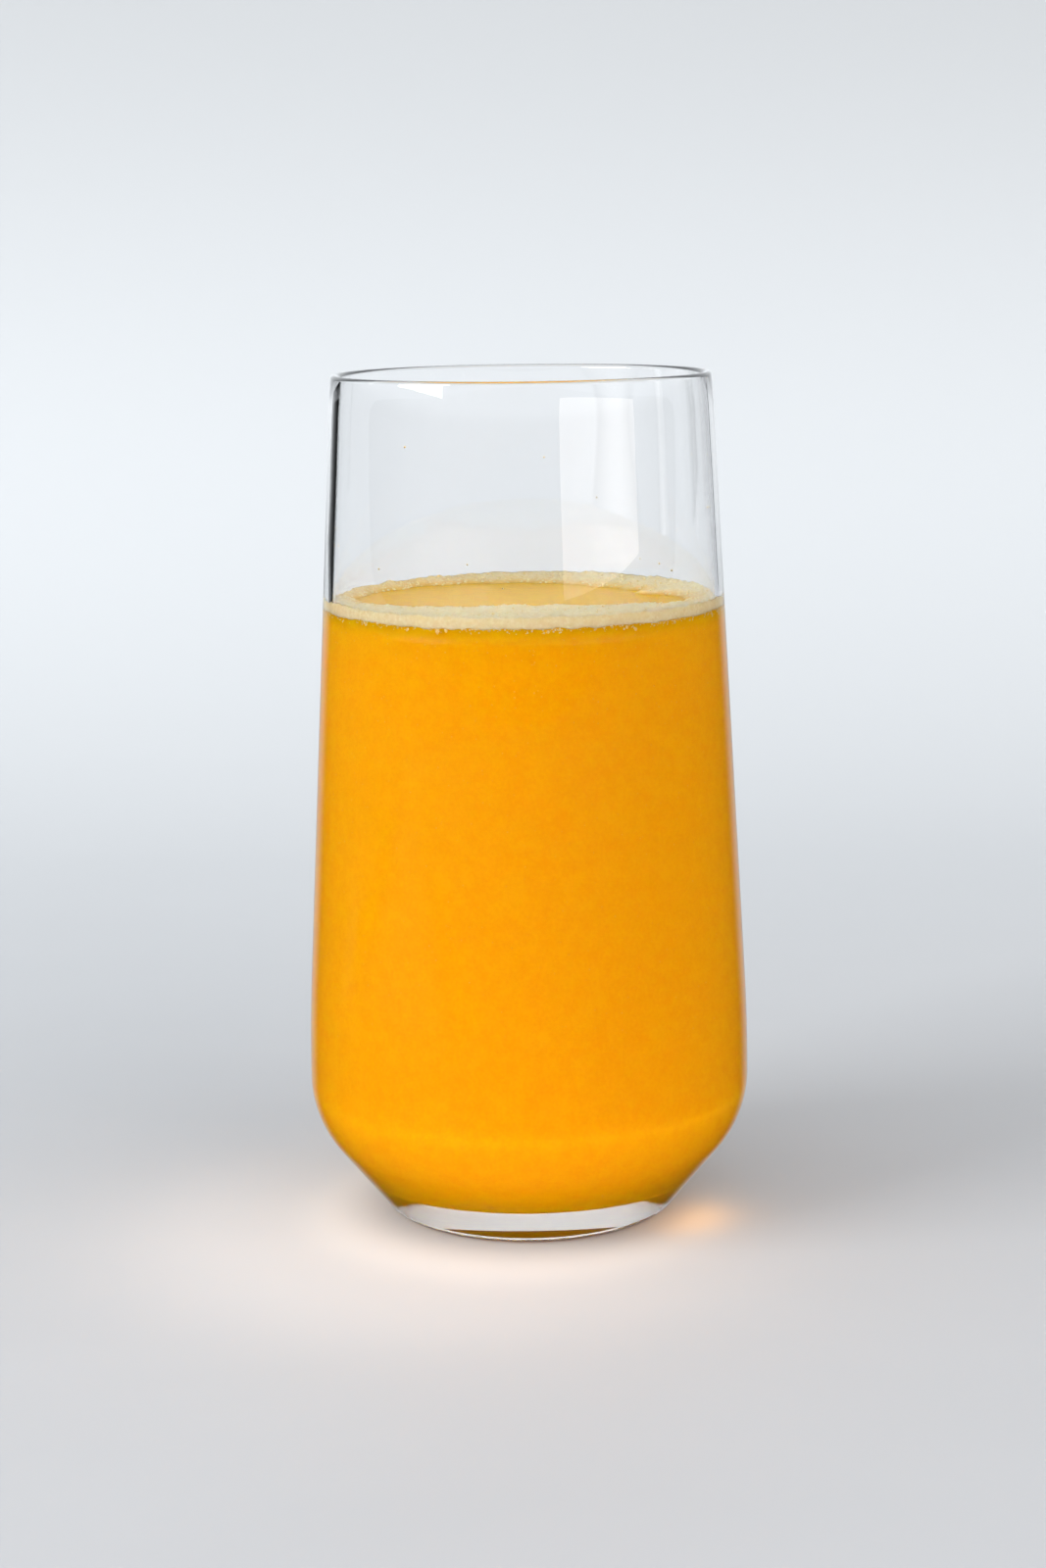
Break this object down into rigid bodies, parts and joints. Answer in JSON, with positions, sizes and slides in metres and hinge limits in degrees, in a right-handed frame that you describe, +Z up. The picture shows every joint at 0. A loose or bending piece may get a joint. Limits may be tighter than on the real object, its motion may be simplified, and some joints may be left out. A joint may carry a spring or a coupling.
{
  "type": "glass of orange juice",
  "caption": "Tall clear tumbler, widest just above its foot, filled with orange juice under a thin layer of cream-coloured foam that leaves part of the surface bare.",
  "frame": {"origin": "centre of the foot's underside, on the surface that the glass stands on", "axes": "+Z up along the glass's axis; +Y towards the back, where the foam leaves the juice bare; +X to the right seen from the front"},
  "size_m": [0.0764, 0.0764, 0.145],
  "materials": {
    "clear_glass": "clear, polished, slightly wavy",
    "orange_juice": "opaque cloudy liquid with fine pulp, wet surface",
    "juice_foam": "fine cream-coloured foam with small bubbles"
  },
  "bodies": {
    "root": {"glass": "clear_glass", "juice": "orange_juice", "foam": "juice_foam"}
  },
  "joints": []
}
